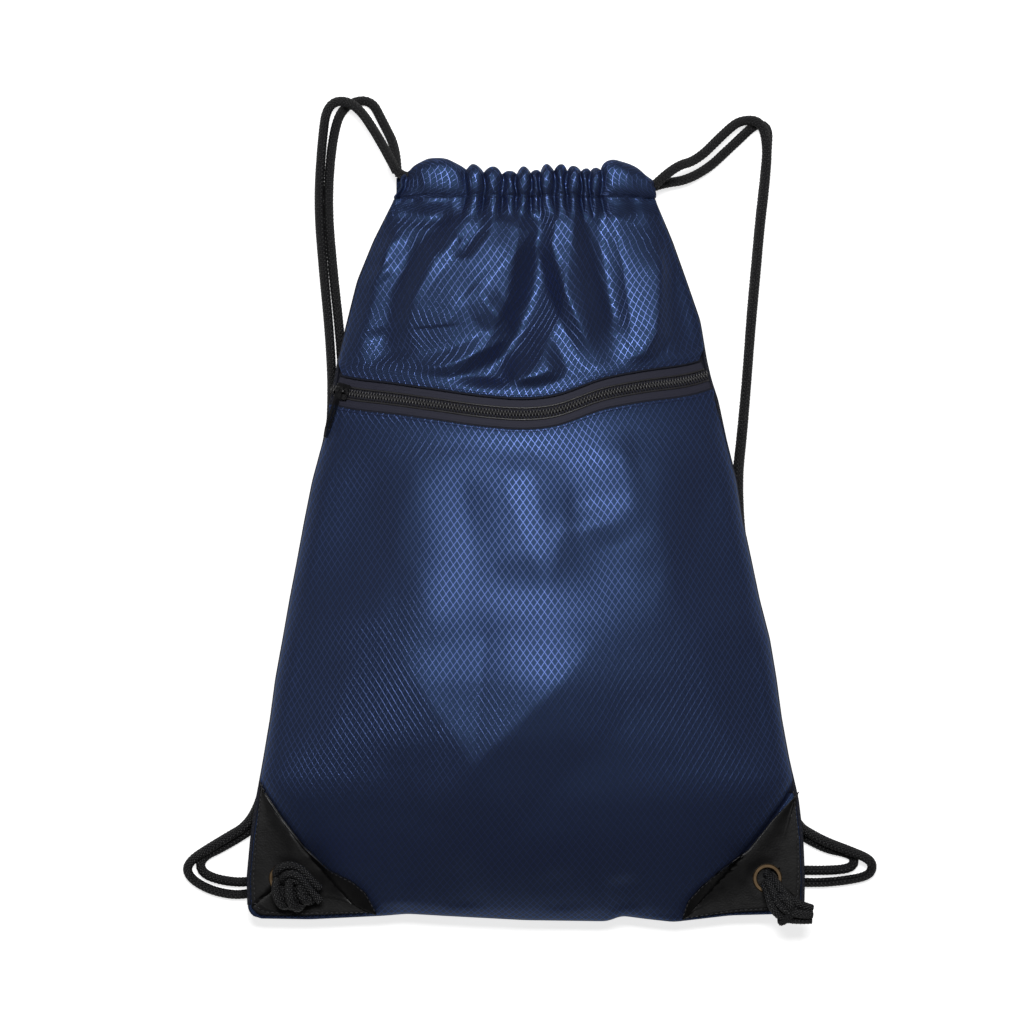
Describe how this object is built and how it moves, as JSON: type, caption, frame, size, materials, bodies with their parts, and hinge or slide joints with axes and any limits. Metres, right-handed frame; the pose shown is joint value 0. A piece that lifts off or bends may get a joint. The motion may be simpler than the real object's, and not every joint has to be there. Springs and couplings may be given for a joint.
{
  "type": "drawstring backpack",
  "caption": "Soft drawstring backpack lying on its back, with a gathered mouth, a zipped front pocket, leather corners, eyelets and knotted cord straps.",
  "frame": {"origin": "centre of the bag's plan, on the surface that the back panel lies on; the free cords are left out of it", "axes": "+X to the bag's right side seen from the front, +Y from the bottom seam to the gathered mouth, +Z from the back panel to the front panel"},
  "size_m": [0.4224, 0.502, 0.0729],
  "materials": {
    "navy_nylon": "satin woven nylon",
    "lining_nylon": "plain woven",
    "binding_tape": "woven tape",
    "zip_tape": "woven tape",
    "zip_coil": "moulded nylon",
    "black_metal": "satin black paint",
    "black_leather": "smooth grain",
    "black_cord": "braided polyester",
    "antique_brass": "aged"
  },
  "bodies": {
    "bag": {"front_upper_panel": "navy_nylon", "front_lower_panel": "navy_nylon", "back_panel": "navy_nylon", "front_casing": "navy_nylon", "back_casing": "navy_nylon", "pocket_lining": "lining_nylon", "zip_tape_upper": "zip_tape", "zip_tape_lower": "zip_tape", "upper_zip_hem": "navy_nylon", "lower_zip_hem": "navy_nylon", "zip_coil_upper": "zip_coil", "zip_coil_lower": "zip_coil", "left_front_patch": "black_leather", "left_back_patch": "black_leather", "left_cord_front_strand": "black_cord", "left_cord_back_strand": "black_cord", "left_cord_casing_run": "black_cord", "left_knot": "black_cord", "left_seam_binding": "binding_tape", "left_eyelet": "antique_brass", "left_eyelet_washer": "antique_brass", "right_front_patch": "black_leather", "right_back_patch": "black_leather", "right_cord_front_strand": "black_cord", "right_cord_back_strand": "black_cord", "right_cord_casing_run": "black_cord", "right_knot": "black_cord", "right_seam_binding": "binding_tape", "right_eyelet": "antique_brass", "right_eyelet_washer": "antique_brass"},
    "slider": {"slider_body": "black_metal", "slider_bridge": "black_metal"},
    "puller": {"puller_tab": "black_metal"}
  },
  "joints": [
    {"name": "slider_travel", "type": "hinge", "parent": "bag", "child": "slider", "pos_m": [-0.00594, 0.1766, -0.12005], "axis": [-0.0349, 0.8693, 0.493], "range_deg": [0, 64.87]},
    {"name": "puller_swing", "type": "hinge", "parent": "slider", "child": "puller", "pos_m": [-0.11233, 0.09065, 0.03223], "axis": [-0.8539, 0.2303, -0.4666], "range_deg": [0, 175]}
  ]
}
